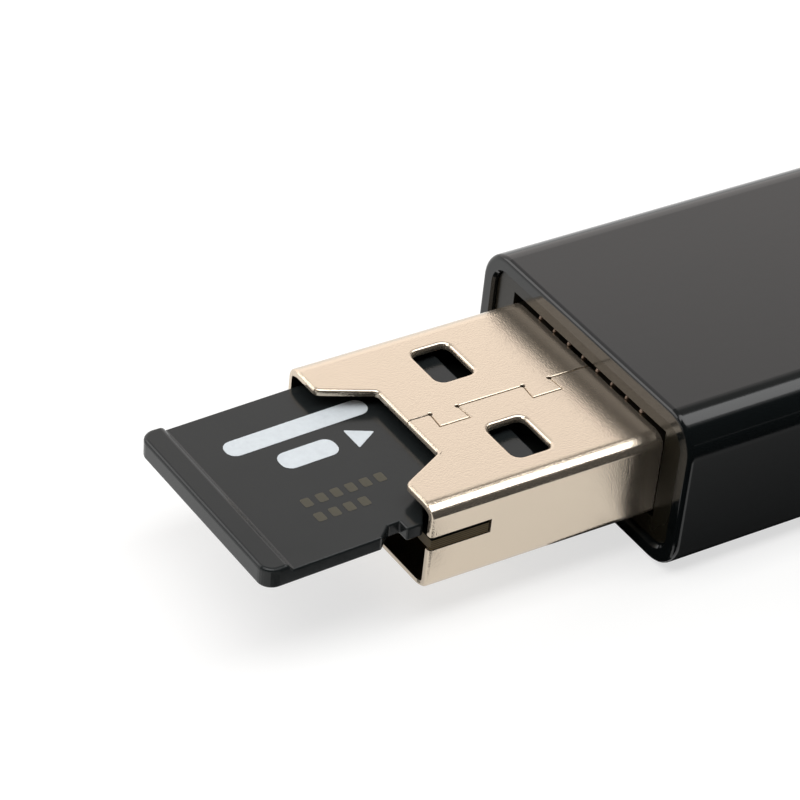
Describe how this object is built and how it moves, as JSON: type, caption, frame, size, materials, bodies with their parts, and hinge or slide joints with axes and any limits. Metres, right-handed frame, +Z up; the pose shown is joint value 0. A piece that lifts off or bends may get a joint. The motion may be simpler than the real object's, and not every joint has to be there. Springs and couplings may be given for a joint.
{
  "type": "card reader plug",
  "caption": "Computer plug whose mouth also takes a small memory card, on a black cable housing, with the card drawn half out.",
  "frame": {"origin": "on the base plane, under the middle of the whole, card included", "axes": "+X from the card's tail through the plug to the housing's back, +Z up"},
  "size_m": [0.05, 0.0164, 0.0083],
  "materials": {
    "plated_shell": "bright nickel plating with a fine grain",
    "frame_black": "glossy black moulding",
    "housing_black": "glossy black moulding",
    "board_laminate": "olive brown laminate",
    "block_black": "matt black moulding",
    "chip_resin": "matt black resin",
    "tinned_leads": "tinned",
    "crystal_can": "plain metal can",
    "tinned_pads": "tinned",
    "card_black": "satin black moulding",
    "card_gold": "gold plated",
    "contact_gold": "gold plated",
    "spring_gold": "gold plated",
    "capacitor_body": "fired ceramic",
    "resistor_body": "black film"
  },
  "bodies": {
    "reader": {"plug_shell": "plated_shell", "front_frame": "frame_black", "housing_sleeve": "housing_black", "circuit_board": "board_laminate", "plug_contact_1": "contact_gold", "plug_contact_2": "contact_gold", "plug_contact_3": "contact_gold", "plug_contact_4": "contact_gold", "contact_block": "block_black", "card_spring_1": "spring_gold", "card_spring_2": "spring_gold", "card_spring_3": "spring_gold", "card_spring_4": "spring_gold", "card_spring_5": "spring_gold", "card_spring_6": "spring_gold", "card_spring_7": "spring_gold", "card_spring_8": "spring_gold", "controller_chip": "chip_resin", "chip_leads": "tinned_leads", "crystal": "crystal_can", "capacitor_1": "capacitor_body", "capacitor_2": "capacitor_body", "capacitor_3": "capacitor_body", "capacitor_4": "capacitor_body", "capacitor_5": "capacitor_body", "resistor_1": "resistor_body", "resistor_2": "resistor_body", "resistor_3": "resistor_body", "resistor_4": "resistor_body", "wire_pads": "tinned_pads"},
    "card": {"memory_card": "card_black", "card_pads": "card_gold"}
  },
  "joints": [
    {"name": "card_slide", "type": "slide", "parent": "reader", "child": "card", "axis": [0.9993, 0, 0.0374], "range_m": [-0.007, 0.0077]}
  ]
}
